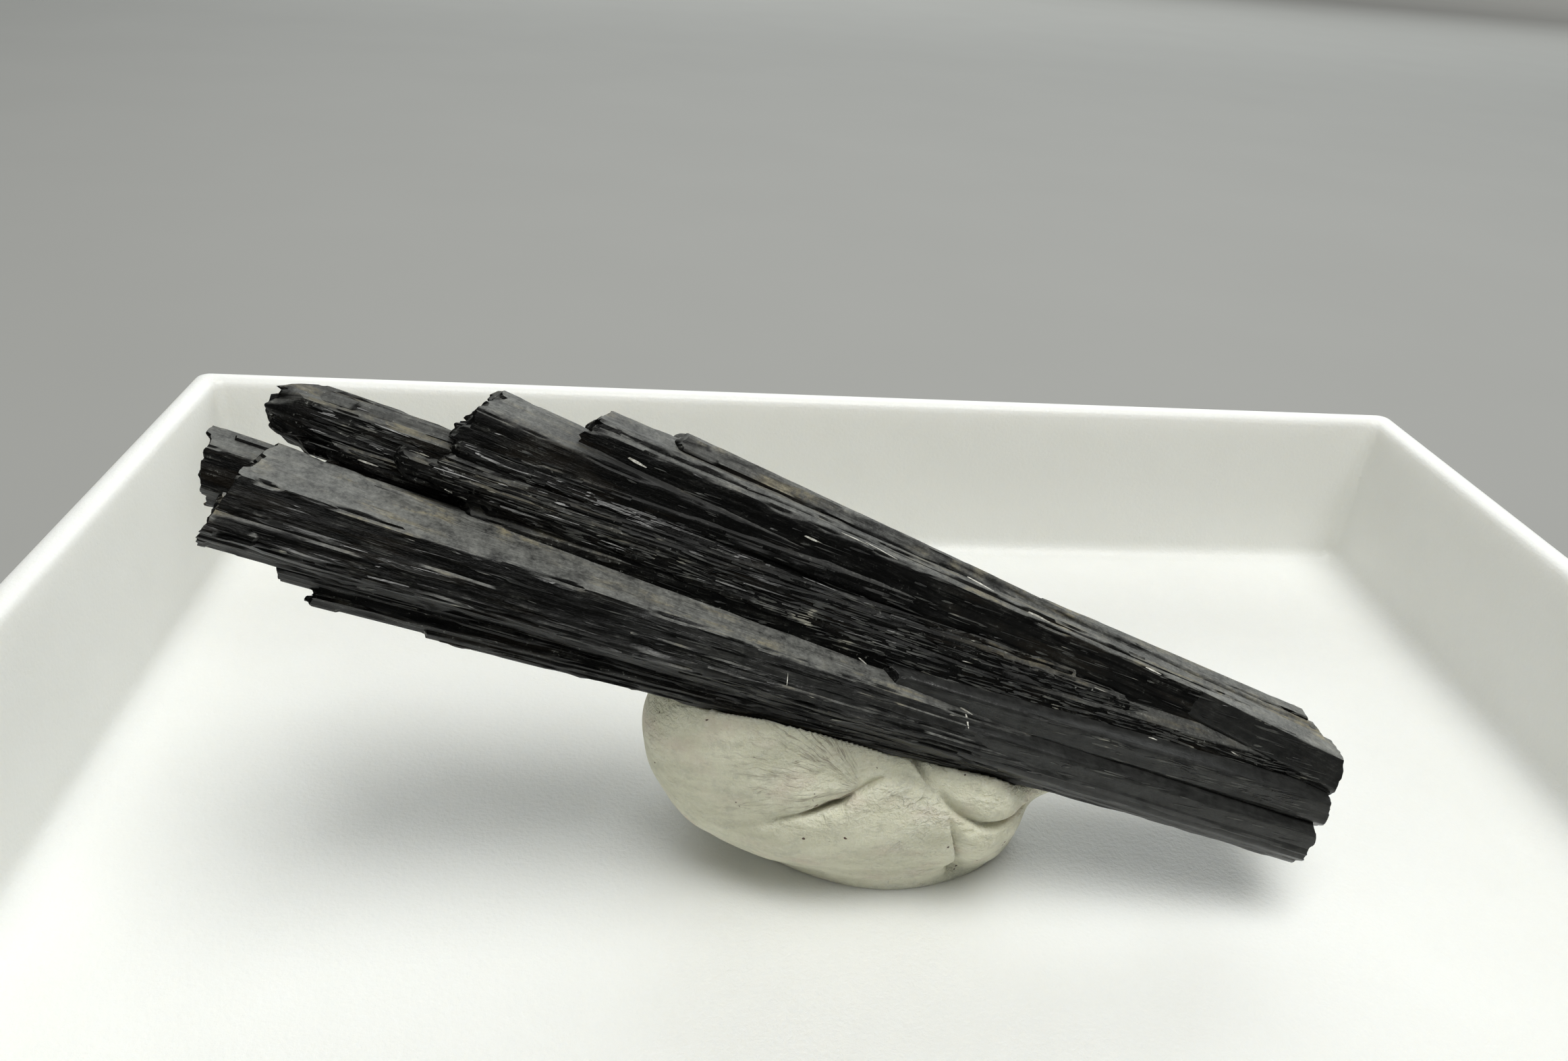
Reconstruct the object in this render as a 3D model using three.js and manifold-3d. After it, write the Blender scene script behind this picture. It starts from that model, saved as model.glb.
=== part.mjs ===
// A schorl (black tourmaline) specimen: a fan of crystals grown together, pressed into a lump of
// mineral tack that holds it tilted above the floor of its white plastic specimen tray.
// Millimetres, +Z up. The origin is the centre of the tray's underside.
import * as THREE from "three";
import { mergeVertices } from "three/addons/utils/BufferGeometryUtils.js";
import Module from "manifold-3d";

const wasm = await Module();
wasm.setup();

// ---- Driving dimensions -------------------------------------------------------------------

const trayWidth = 60; // outside, at the rim, both ways
const trayHeight = 9.3;
const floorThickness = 1.2;
const rimThickness = 1.1;
const wallDraft = 0.25; // how far each wall leans in over its height
const cornerRadius = 1.1; // outside corners, seen from above
const rimRounding = 0.35;
const floorFillet = 0.7;

// The crystals have a frame of their own: x runs along the fan and ends at its root, y points up
// the fan's broad side, and z points out of that side, towards someone who looks at it.
const rootCentre = [15.3, 5.4, floorThickness + 4.1];
const fanHeading = -2; // degrees about the vertical
const fanPitch = 15.8; // how steeply the fan climbs from its root to its tips
const fanLean = 58; // how far the broad side leans back from facing straight up

const seatGap = 0.3; // between the crystals and the tack that they press into

// Each crystal is a six-sided prism from its root to its tip. Both ends give x, y, z and the
// distance from the middle to a corner; turn is the angle of the first corner, from z to y.
const crystals = [
  { name: "broad front", tip: [-36.5, -0.32, 0.85, 1.55], root: [-11, -1.15, 0.2, 1.05], turn: 27 },
  { name: "left block", tip: [-37.7, 0.45, 0.2, 1.15], root: [-14, -0.6, -0.9, 1.0], turn: 27 },
  { name: "front lower", tip: [-37.1, -0.75, 0.7, 0.8], root: [-12, -1.6, 0.3, 0.8], turn: 15 },
  { name: "ledge", tip: [-35.2, -1.4, 0.1, 0.75], root: [-10, -1.7, 0, 0.8], turn: 30 },
  { name: "lower ledge", tip: [-33.9, -1.85, -0.1, 0.72], root: [-9, -1.8, -0.2, 0.7], turn: 5 },
  { name: "keel", tip: [-30.7, -2.15, -0.2, 0.55], root: [-6, -1.85, -0.2, 0.65], turn: 20 },
  { name: "root lower", tip: [-13.2, -1.45, 0.55, 0.9], root: [-0.5, -1.9, 0.35, 0.85], turn: 10 },
  { name: "root middle", tip: [-17, -0.1, 0.6, 0.7], root: [-0.2, -0.6, 0.55, 0.75], turn: 30 },
  { name: "slender", tip: [-32.8, 1.75, 0.6, 0.5], root: [-10, 0.9, -0.2, 0.6], turn: 0 },
  { name: "inner strip", tip: [-31.5, 1.15, 0.4, 0.5], root: [-14, -0.1, 0.3, 0.5], turn: 20 },
  { name: "valley ridge", tip: [-27.6, 1.9, -0.2, 0.55], root: [-8, 0.7, 0, 0.6], turn: 30 },
  { name: "upper left", tip: [-36.2, 2.7, -1.4, 1.05], root: [-8, 1.4, -1.2, 1.0], turn: 27 },
  { name: "upper left stub", tip: [-36.9, 2.55, -1.5, 0.7], root: [-20, 2.1, -1.3, 0.6], turn: 0 },
  { name: "upper middle", tip: [-30.6, 3.35, -1.0, 1.75], root: [-4, 1.0, -0.8, 1.1], turn: 27 },
  { name: "upper middle stub", tip: [-31.2, 3.2, -0.8, 1.0], root: [-16, 2.2, -0.6, 0.8], turn: 10 },
  { name: "upper right", tip: [-26.9, 3.95, -1.5, 1.7], root: [-0.2, 0.75, -0.6, 1.15], turn: 24 },
  { name: "top strip", tip: [-14, 3.4, -1.4, 0.9], root: [-0.6, 2.0, -1.0, 0.55], turn: 30 },
  { name: "facet", tip: [-10, 1.9, -0.5, 1.1], root: [-0.1, 0.6, -0.1, 1.1], turn: 30 },
  { name: "back low", tip: [-35.5, -0.4, -1.9, 1.2], root: [-0.9, -0.9, -1.2, 1.1], turn: 10 },
  { name: "back middle", tip: [-33.5, 1.2, -2.5, 1.35], root: [-0.3, 0.6, -1.6, 1.1], turn: 25 },
  { name: "back high", tip: [-29, 3.2, -2.7, 1.2], root: [-0.9, 1.4, -1.5, 0.9], turn: 0 },
  { name: "core", tip: [-31, 0.8, -0.9, 1.3], root: [-0.3, 0.1, -0.5, 1.3], turn: 12 },
];
const bladesPerCrystal = 4;

// The tack is one kneaded lump: rounded lobes that run into each other. Each gives its centre
// above the tray's floor, its three radii, and its turn about the vertical.
const tackCentre = [-0.6, 7.6, 2.8];
const tackLobes = [
  { name: "left bulge", at: [-2.3, 7.8, 6.0], radii: [6.2, 3.1, 4.4], turn: 19 },
  { name: "tongue", at: [0.6, 7.6, 1.2], radii: [3.8, 3.0, 3.3], turn: 0 },
  { name: "right", at: [2.7, 7.8, 3.5], radii: [2.6, 4.2, 3.0], turn: 0 },
  { name: "squeezed roll", at: [2.9, 6.6, 4.1], radii: [3.4, 1.9, 1.0], turn: 0 },
  { name: "saddle", at: [-1.3, 7.5, 3.6], radii: [6.1, 3.9, 3.7], turn: 0 },
];
const tackBlend = 0.12; // how softly one lobe runs into the next
const tackDetail = 8;

// ---- Solids -------------------------------------------------------------------------------

// A three.js geometry as a closed solid that can be joined and cut.
function solidOf(geometry) {
  const bare = geometry.index ? geometry.toNonIndexed() : geometry.clone();
  bare.deleteAttribute("normal");
  bare.deleteAttribute("uv");
  const merged = mergeVertices(bare, 1e-4);
  return new wasm.Manifold(
    new wasm.Mesh({
      numProp: 3,
      vertProperties: merged.attributes.position.array,
      triVerts: new Uint32Array(merged.index.array),
    }),
  );
}

// A solid as a geometry that can be drawn, with flat faces.
function geometryOf(solid) {
  const mesh = solid.getMesh();
  const geometry = new THREE.BufferGeometry();
  geometry.setAttribute("position", new THREE.BufferAttribute(mesh.vertProperties, 3));
  geometry.setIndex(new THREE.BufferAttribute(mesh.triVerts, 1));
  const flat = geometry.toNonIndexed();
  flat.computeVertexNormals();
  return flat;
}

// A number from 0 to 1 that is always the same for the same seed.
function chance(seed) {
  const v = Math.sin(seed * 12.9898 + 4.1414) * 43758.5453;
  return v - Math.floor(v);
}

// ---- Schorl crystals ----------------------------------------------------------------------

// The six-sided outline of a crystal, with shallow flutes along each side.
function flutedOutline(turn, flutes, seed) {
  const corners = 6;
  const points = [];
  for (let i = 0; i < corners; i++) {
    const from = THREE.MathUtils.degToRad(turn + (i * 360) / corners);
    const to = THREE.MathUtils.degToRad(turn + ((i + 1) * 360) / corners);
    for (let k = 0; k < flutes; k++) {
      const t = k / flutes;
      const depth = k === 0 ? 1 : 1 - 0.1 * chance(seed + 7 * i + 3 * k);
      const z = (Math.cos(from) * (1 - t) + Math.cos(to) * t) * depth;
      const y = (Math.sin(from) * (1 - t) + Math.sin(to) * t) * depth;
      points.push(new THREE.Vector2(y, z));
    }
  }
  return new THREE.Shape(points);
}

// A tapering prism from root to tip, grown outwards by the given allowance. Its tip is broken
// unevenly: each corner of the last outline ends at a length of its own.
function prism({ tip, root, turn }, seed, flutes, grow, roughness) {
  const geometry = new THREE.ExtrudeGeometry(flutedOutline(turn, flutes, seed), {
    depth: 1,
    steps: 1,
    bevelEnabled: false,
  });
  const position = geometry.attributes.position;
  for (let i = 0; i < position.count; i++) {
    const [y, z, t] = [position.getX(i), position.getY(i), position.getZ(i)];
    const radius = THREE.MathUtils.lerp(tip[3], root[3], t) + grow;
    const ragged = Math.round((Math.atan2(y, z) * 9) / Math.PI);
    const end = chance(seed + 31 * ragged + (t > 0.5 ? 500 : 0)) * roughness * radius;
    const x = THREE.MathUtils.lerp(tip[0] + end - grow, root[0] - 0.3 * end + grow, t);
    const middleY = THREE.MathUtils.lerp(tip[1], root[1], t);
    const middleZ = THREE.MathUtils.lerp(tip[2], root[2], t);
    position.setXYZ(i, x, middleY + y * radius, middleZ + z * radius);
  }
  return solidOf(geometry);
}

// The thin blades that stand along a crystal's sides and end short of its tip, or just past it.
function bladesOf(crystal, index) {
  const [tip, root] = [crystal.tip, crystal.root];
  const blades = [];
  for (let k = 0; k < bladesPerCrystal; k++) {
    const seed = 100 + index * 17 + k * 5;
    const angle = THREE.MathUtils.degToRad(crystal.turn + 360 * chance(seed));
    const thin = 0.22 + 0.2 * chance(seed + 1);
    const reach = tip[3] * (1.35 * chance(seed + 2) - 0.35);
    const place = (end, x) => [
      x,
      end[1] + Math.sin(angle) * end[3] * (0.98 - thin),
      end[2] + Math.cos(angle) * end[3] * (0.98 - thin),
      end[3] * thin,
    ];
    const far = tip[0] + 1.8 * reach;
    blades.push({ tip: place(tip, far), root: place(root, root[0] - 0.2), turn: 40 * k });
  }
  return blades;
}

// The biggest body of a solid. The small hollows that crystals shut in between them are bodies
// too, so taking the biggest fills them.
function largest(solid) {
  return solid.decompose().reduce((best, body) => (body.volume() > best.volume() ? body : best));
}

// The whole fan as one solid. Crystals that overlap have grown together.
function fan(grow) {
  const pieces = [];
  crystals.forEach((crystal, i) => {
    pieces.push(prism(crystal, 10 * i, 3, grow, 0.22));
    bladesOf(crystal, i).forEach((blade, k) => {
      pieces.push(prism(blade, 900 + 40 * i + k, 1, grow, 0.4));
    });
  });
  return largest(wasm.Manifold.union(pieces));
}

function placeAsFan(object) {
  object.position.set(...rootCentre);
  object.rotation.order = "ZYX";
  object.rotation.set(
    THREE.MathUtils.degToRad(fanLean),
    THREE.MathUtils.degToRad(fanPitch),
    THREE.MathUtils.degToRad(fanHeading),
  );
  object.updateMatrixWorld(true);
  return object;
}

function makeSchorl() {
  const material = new THREE.MeshStandardMaterial({
    color: 0x1b1c1c,
    roughness: 0.38,
    metalness: 0,
  });
  const mesh = new THREE.Mesh(geometryOf(fan(0)), material);
  mesh.name = "schorl_crystals";
  return placeAsFan(mesh);
}

// ---- Mineral tack -------------------------------------------------------------------------

// How far a point is outside one lobe, as a share of the lobe's size: 0 on its surface.
function outside(lobe, x, y, z) {
  const turn = THREE.MathUtils.degToRad(lobe.turn);
  const [dx, dy, dz] = [x - lobe.at[0], y - lobe.at[1], z - lobe.at[2]];
  const along = dx * Math.cos(turn) + dy * Math.sin(turn);
  const across = dy * Math.cos(turn) - dx * Math.sin(turn);
  return Math.hypot(along / lobe.radii[0], across / lobe.radii[1], dz / lobe.radii[2]) - 1;
}

// The same for the whole lump, with the lobes blended where they meet.
function outsideTack(x, y, z) {
  let sum = 0;
  for (const lobe of tackLobes) sum += Math.exp(-outside(lobe, x, y, z) / tackBlend);
  return -tackBlend * Math.log(sum);
}

function makeTack() {
  const farthest = 12;
  const step = 0.05;
  const geometry = new THREE.IcosahedronGeometry(1, tackDetail);
  const position = geometry.attributes.position;
  const ray = new THREE.Vector3();
  for (let i = 0; i < position.count; i++) {
    ray.fromBufferAttribute(position, i).normalize();
    const floorAt = ray.z < 0 ? -tackCentre[2] / ray.z : farthest;
    let r = Math.min(farthest, floorAt);
    const at = (length) => tackCentre.map((c, axis) => c + ray.getComponent(axis) * length);
    while (r > step && outsideTack(...at(r)) > 0) r -= step;
    const [x, y, z] = at(r);
    position.setXYZ(i, x, y, floorThickness + (r === floorAt ? 0 : Math.max(z, 0)));
  }
  const seat = placeAsFan(new THREE.Object3D());
  const pressed = solidOf(geometryOf(fan(seatGap)).applyMatrix4(seat.matrixWorld));
  const lump = largest(solidOf(geometry).subtract(pressed));
  const material = new THREE.MeshStandardMaterial({
    color: 0xc9c8b8,
    roughness: 0.75,
    metalness: 0,
  });
  const mesh = new THREE.Mesh(geometryOf(lump), material);
  mesh.name = "mineral_tack";
  return mesh;
}

// ---- Specimen tray ------------------------------------------------------------------------

// A square with rounded corners, as seen from above.
function roundedSquare(half, radius) {
  const shape = new THREE.Shape();
  const flat = half - radius;
  shape.moveTo(-flat, -half);
  shape.absarc(flat, -flat, radius, -Math.PI / 2, 0);
  shape.absarc(flat, flat, radius, 0, Math.PI / 2);
  shape.absarc(-flat, flat, radius, Math.PI / 2, Math.PI);
  shape.absarc(-flat, -flat, radius, Math.PI, 1.5 * Math.PI);
  return shape;
}

// A block between two heights whose sides lean outwards as they rise. Its top or bottom edge is
// rounded by the given radius.
function leaningBlock({ half, radius, bottom, top, rounding, roundedTop, lean }) {
  const geometry = new THREE.ExtrudeGeometry(roundedSquare(half - rounding, radius - rounding), {
    depth: top - bottom - rounding,
    bevelEnabled: true,
    bevelThickness: rounding,
    bevelSize: rounding,
    bevelSegments: 4,
    curveSegments: 6,
  });
  const position = geometry.attributes.position;
  for (let i = 0; i < position.count; i++) {
    const raw = position.getZ(i);
    const low = bottom + Math.max(raw, 0);
    const high = bottom + rounding + Math.min(raw, top - bottom - rounding);
    const z = roundedTop ? low : high;
    const scale = 1 + (lean * (z - top)) / (top - bottom) / half;
    position.setXYZ(i, position.getX(i) * scale, position.getY(i) * scale, z);
  }
  return geometry;
}

function makeTray() {
  const body = leaningBlock({
    half: trayWidth / 2,
    radius: cornerRadius,
    bottom: 0,
    top: trayHeight,
    rounding: rimRounding,
    roundedTop: true,
    lean: wallDraft,
  });
  const hollow = leaningBlock({
    half: trayWidth / 2 - rimThickness,
    radius: cornerRadius,
    bottom: floorThickness,
    top: trayHeight + 1,
    rounding: floorFillet,
    roundedTop: false,
    lean: wallDraft,
  });
  const material = new THREE.MeshStandardMaterial({
    color: 0xf2f2ee,
    roughness: 0.45,
    metalness: 0,
  });
  const mesh = new THREE.Mesh(geometryOf(solidOf(body).subtract(solidOf(hollow))), material);
  mesh.name = "specimen_tray";
  return mesh;
}

// ---- The specimen -------------------------------------------------------------------------

const specimen = new THREE.Group();
specimen.add(makeTray(), makeTack(), makeSchorl());

export default specimen;
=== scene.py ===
import math

import bpy
import numpy as np
from mathutils import Euler, Matrix, Vector
from mathutils.bvhtree import BVHTree


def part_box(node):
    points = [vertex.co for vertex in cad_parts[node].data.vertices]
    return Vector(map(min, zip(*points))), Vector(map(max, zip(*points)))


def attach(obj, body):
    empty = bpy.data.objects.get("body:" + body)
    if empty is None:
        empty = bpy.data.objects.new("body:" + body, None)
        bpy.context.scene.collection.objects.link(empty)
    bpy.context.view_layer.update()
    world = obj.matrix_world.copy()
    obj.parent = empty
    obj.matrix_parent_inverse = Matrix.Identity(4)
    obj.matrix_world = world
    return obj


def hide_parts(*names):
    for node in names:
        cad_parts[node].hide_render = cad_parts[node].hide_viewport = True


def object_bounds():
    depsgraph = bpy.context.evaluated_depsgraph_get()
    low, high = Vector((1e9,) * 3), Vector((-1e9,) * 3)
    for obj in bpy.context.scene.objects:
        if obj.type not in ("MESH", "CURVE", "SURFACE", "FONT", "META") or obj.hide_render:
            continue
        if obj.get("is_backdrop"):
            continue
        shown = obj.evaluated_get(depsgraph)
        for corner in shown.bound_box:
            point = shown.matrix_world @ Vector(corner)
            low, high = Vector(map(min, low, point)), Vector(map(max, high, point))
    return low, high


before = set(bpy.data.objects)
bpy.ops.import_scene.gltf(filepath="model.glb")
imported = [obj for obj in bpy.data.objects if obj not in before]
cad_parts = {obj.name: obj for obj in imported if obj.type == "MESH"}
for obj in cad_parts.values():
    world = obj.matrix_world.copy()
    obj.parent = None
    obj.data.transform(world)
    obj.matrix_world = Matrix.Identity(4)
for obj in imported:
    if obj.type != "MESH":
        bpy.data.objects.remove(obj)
cad_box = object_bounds()

# ---- Camera -----------------------------------------------------------------------------------
# A close view from the tray's open front, looking down at the specimen across the tray.
MM = 0.001
CAMERA_AT = Vector((-7.697, -24.573, 31.763)) * MM
CAMERA_HEADING = math.radians(-6.597)
CAMERA_PITCH = math.radians(28.982)
CAMERA_ROLL = math.radians(4.593)
LENS = 27.03
SENSOR_WIDTH = 36

camera = bpy.data.objects.new("camera", bpy.data.cameras.new("camera"))
bpy.context.scene.collection.objects.link(camera)
bpy.context.scene.camera = camera
camera.data.lens = LENS
camera.data.sensor_width = SENSOR_WIDTH
camera.data.clip_start = 0.001
camera.data.clip_end = 10
level = Euler((math.pi / 2 - CAMERA_PITCH, 0, CAMERA_HEADING)).to_matrix().to_4x4()
camera.matrix_world = Matrix.Translation(CAMERA_AT) @ level @ Matrix.Rotation(CAMERA_ROLL, 4, "Z")

# ---- Specimen tray ----------------------------------------------------------------------------
# A shallow square tray, injection moulded in white polystyrene a millimetre thick. It lets a
# little light through, its walls are satin, and its floor has a fine moulded grain.
TRAY_LOW, TRAY_HIGH = (np.array(corner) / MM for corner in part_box("specimen_tray"))
TRAY_HALF = (TRAY_HIGH[0] - TRAY_LOW[0]) / 2
TRAY_TOP = TRAY_HIGH[2]
TRAY_FLOOR = 1.2
TRAY_RIM = 1.1
TRAY_CORNER = 0.5
TRAY_DRAFT = 0.25
TRAY_FOOT_RADIUS = 0.6
TRAY_FLOOR_FILLET = 0.8
TRAY_RIM_CROWN = 0.42
TRAY_WHITE = (0.79, 0.793, 0.768, 1)
TRAY_GREYER_WHITE = (0.75, 0.755, 0.725, 1)


class Wire:
    """A shader socket that sums can be written with. Each sum adds its Math node."""

    def __init__(self, tree, socket=None):
        self.tree = tree
        self.socket = socket

    def node(self, kind, settings=None, sockets=None, output=0):
        """Adds a node, sets it up, fills its sockets with values or links, gives one output."""
        made = self.tree.nodes.new("ShaderNode" + kind)
        for name, value in (settings or {}).items():
            setattr(made, name, value)
        for name, value in (sockets or {}).items():
            if isinstance(value, Wire):
                self.tree.links.new(value.socket, made.inputs[name])
            else:
                made.inputs[name].default_value = value
        return Wire(self.tree, made.outputs[output] if made.outputs else None)

    def math(self, operation, *values):
        return self.node("Math", {"operation": operation}, dict(enumerate(values)))

    def __add__(self, other):
        if self.socket.type == "VECTOR":
            return self.node("VectorMath", {"operation": "ADD"}, {0: self, 1: other})
        return self.math("ADD", self, other)

    def __sub__(self, other):
        return self.math("SUBTRACT", self, other)

    def __rsub__(self, other):
        return self.math("SUBTRACT", other, self)

    def __mul__(self, other):
        return self.math("MULTIPLY", self, other)

    def __pow__(self, other):
        return self.math("POWER", self, other)

    __radd__ = __add__
    __rmul__ = __mul__

    def between(self, low, high):
        """0 below low, 1 above high, and smooth in between. Low above high turns it round."""
        settings = {"interpolation_type": "SMOOTHSTEP"}
        return self.node("MapRange", settings, {"Value": self, "From Min": low, "From Max": high})

    def scaled(self, x, y, z):
        """This vector with each of its axes stretched."""
        return self.node("VectorMath", {"operation": "MULTIPLY"}, {0: self, 1: (x, y, z)})

    def dot(self, direction):
        """How far this vector reaches in a direction."""
        sockets = {0: self, 1: tuple(direction)}
        return self.node("VectorMath", {"operation": "DOT_PRODUCT"}, sockets, output=1)

    def noise(self, detail=2.0, roughness=0.5):
        """Noise of this vector, one bump to a unit."""
        sockets = {"Vector": self, "Scale": 1.0, "Detail": detail, "Roughness": roughness}
        return self.node("TexNoise", {}, sockets)

    def mix(self, first, second):
        """The first colour where this is 0, and the second where it is 1."""
        settings = {"data_type": "RGBA"}
        return self.node("Mix", settings, {0: self, 6: first, 7: second}, output=2)


def new_material(name):
    """A material with an empty node tree, and a wire to build it with."""
    material = bpy.data.materials.new(name)
    material.use_nodes = True
    material.node_tree.nodes.clear()
    return material, Wire(material.node_tree)


def place_on_piece(wire):
    """Where a point of the surface lies, in millimetres."""
    return wire.node("TexCoord", output=3).scaled(1 / MM, 1 / MM, 1 / MM)


def finish_material(wire, height, sockets, dull=None):
    """Closes a material with its shader and bumps, their height in millimetres. Where dull is 1,
    the surface has no gloss."""
    bump = wire.node("Bump", {}, {"Strength": 1.0, "Distance": MM, "Height": height})
    shader = wire.node("BsdfPrincipled", {}, {**sockets, "Normal": bump})
    if dull is not None:
        without_gloss = {**sockets, "Specular IOR Level": 0.0, "Normal": bump}
        matte = wire.node("BsdfPrincipled", {}, without_gloss)
        shader = wire.node("MixShader", {}, {0: dull, 1: shader, 2: matte})
    wire.node("OutputMaterial", {}, {"Surface": shader})


def tray_material():
    material, wire = new_material("white_polystyrene")
    place = place_on_piece(wire)
    grain = place.scaled(6, 6, 6).noise(3.0, 0.65)
    swirl = place.scaled(0.35, 0.35, 0.35).noise(3.0)
    scuffs = place.scaled(0.4, 6, 6).noise(3.0).between(0.65, 0.78)
    height = grain * 0.03 + swirl * 0.05
    finish_material(
        wire,
        height,
        {
            "Base Color": swirl.mix(TRAY_WHITE, TRAY_GREYER_WHITE),
            "Roughness": 0.34 + grain * 0.2 + scuffs * 0.1,
            "Subsurface Weight": 0.5,
            "Subsurface Radius": (2.4, 2.2, 1.9),
            "Subsurface Scale": MM,
            "IOR": 1.55,
        },
    )
    return material


def tray_profile():
    """The tray's section as insets from the rim and heights, from its foot to its floor."""
    foot, fillet = TRAY_FOOT_RADIUS, TRAY_FLOOR_FILLET
    points = [(TRAY_DRAFT + foot, 0.0)]
    for k in range(1, 5):
        turn = math.pi / 2 * k / 4
        points.append((TRAY_DRAFT + foot - foot * math.sin(turn), foot - foot * math.cos(turn)))
    points.append((TRAY_DRAFT / 2, TRAY_TOP / 2))
    for k in range(9):
        turn = math.pi * k / 8
        across = TRAY_RIM / 2 * (1 - math.cos(turn))
        points.append((across, TRAY_TOP - TRAY_RIM_CROWN * (1 - math.sin(turn) ** 0.6)))
    points.append((TRAY_RIM + TRAY_DRAFT / 2, (TRAY_TOP + TRAY_FLOOR) / 2))
    for k in range(7):
        turn = math.pi / 2 * k / 6
        across = TRAY_RIM + TRAY_DRAFT + fillet * (1 - math.cos(turn))
        points.append((across, TRAY_FLOOR + fillet * (1 - math.sin(turn))))
    points.append((TRAY_HALF * 0.5, TRAY_FLOOR))
    return points


def square_loop(inset, height):
    """A loop round the tray at one inset and height, with round corners and long sides."""
    half, radius = TRAY_HALF - inset, TRAY_CORNER
    loop = []
    for corner in range(4):
        start = math.pi / 2 * corner - math.pi / 2
        middle_x = (half - radius) * (1 if corner in (0, 1) else -1)
        middle_y = (half - radius) * (1 if corner in (1, 2) else -1)
        for k in range(9):
            turn = start + math.pi / 2 * k / 8
            x = middle_x + radius * math.cos(turn)
            y = middle_y + radius * math.sin(turn)
            loop.append((x, y, height))
    return loop


def lofted(loops):
    """The vertices and faces of a skin through loops of one length, closed round each loop."""
    count = len(loops[0])
    vertices = [point for loop in loops for point in loop]
    faces = []
    for row in range(len(loops) - 1):
        for k in range(count):
            here, there = row * count + k, row * count + (k + 1) % count
            faces.append((here, there, there + count, here + count))
    return vertices, faces


def new_piece(name, vertices, faces, material):
    """A smooth mesh object, from vertices in millimetres."""
    mesh = bpy.data.meshes.new(name)
    mesh.from_pydata((np.asarray(vertices, float) * MM).tolist(), [], faces)
    mesh.polygons.foreach_set("use_smooth", [True] * len(mesh.polygons))
    mesh.materials.append(material)
    piece = bpy.data.objects.new(name, mesh)
    bpy.context.scene.collection.objects.link(piece)
    return piece


tray_loops = [square_loop(inset, height) for inset, height in tray_profile()]
tray_vertices, tray_faces = lofted(tray_loops)
tray_count = len(tray_loops[0])
tray_faces.append(tuple(reversed(range(tray_count))))
tray_faces.append(tuple(range(len(tray_vertices) - tray_count, len(tray_vertices))))
tray = new_piece("moulded_tray", tray_vertices, tray_faces, tray_material())
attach(tray, "root")
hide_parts("specimen_tray")

# ---- Schorl crystals --------------------------------------------------------------------------
# Six-sided prisms of black tourmaline that grew together into a fan. Their sides are finely
# fluted lengthwise, and their ends are broken off in small steps, like split wood.
# The fan has its own frame, with x from its tips to its root, y up it, and z out of its front.
FAN_ROOT = Vector((15.3, 5.4, TRAY_FLOOR + 4.1))
FAN_TURN = Euler((math.radians(58), math.radians(15.8), math.radians(-2)), "XYZ").to_matrix()
SHEEN_SIDE = math.radians(57)  # where the bright sides face, turned from z to y
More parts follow.
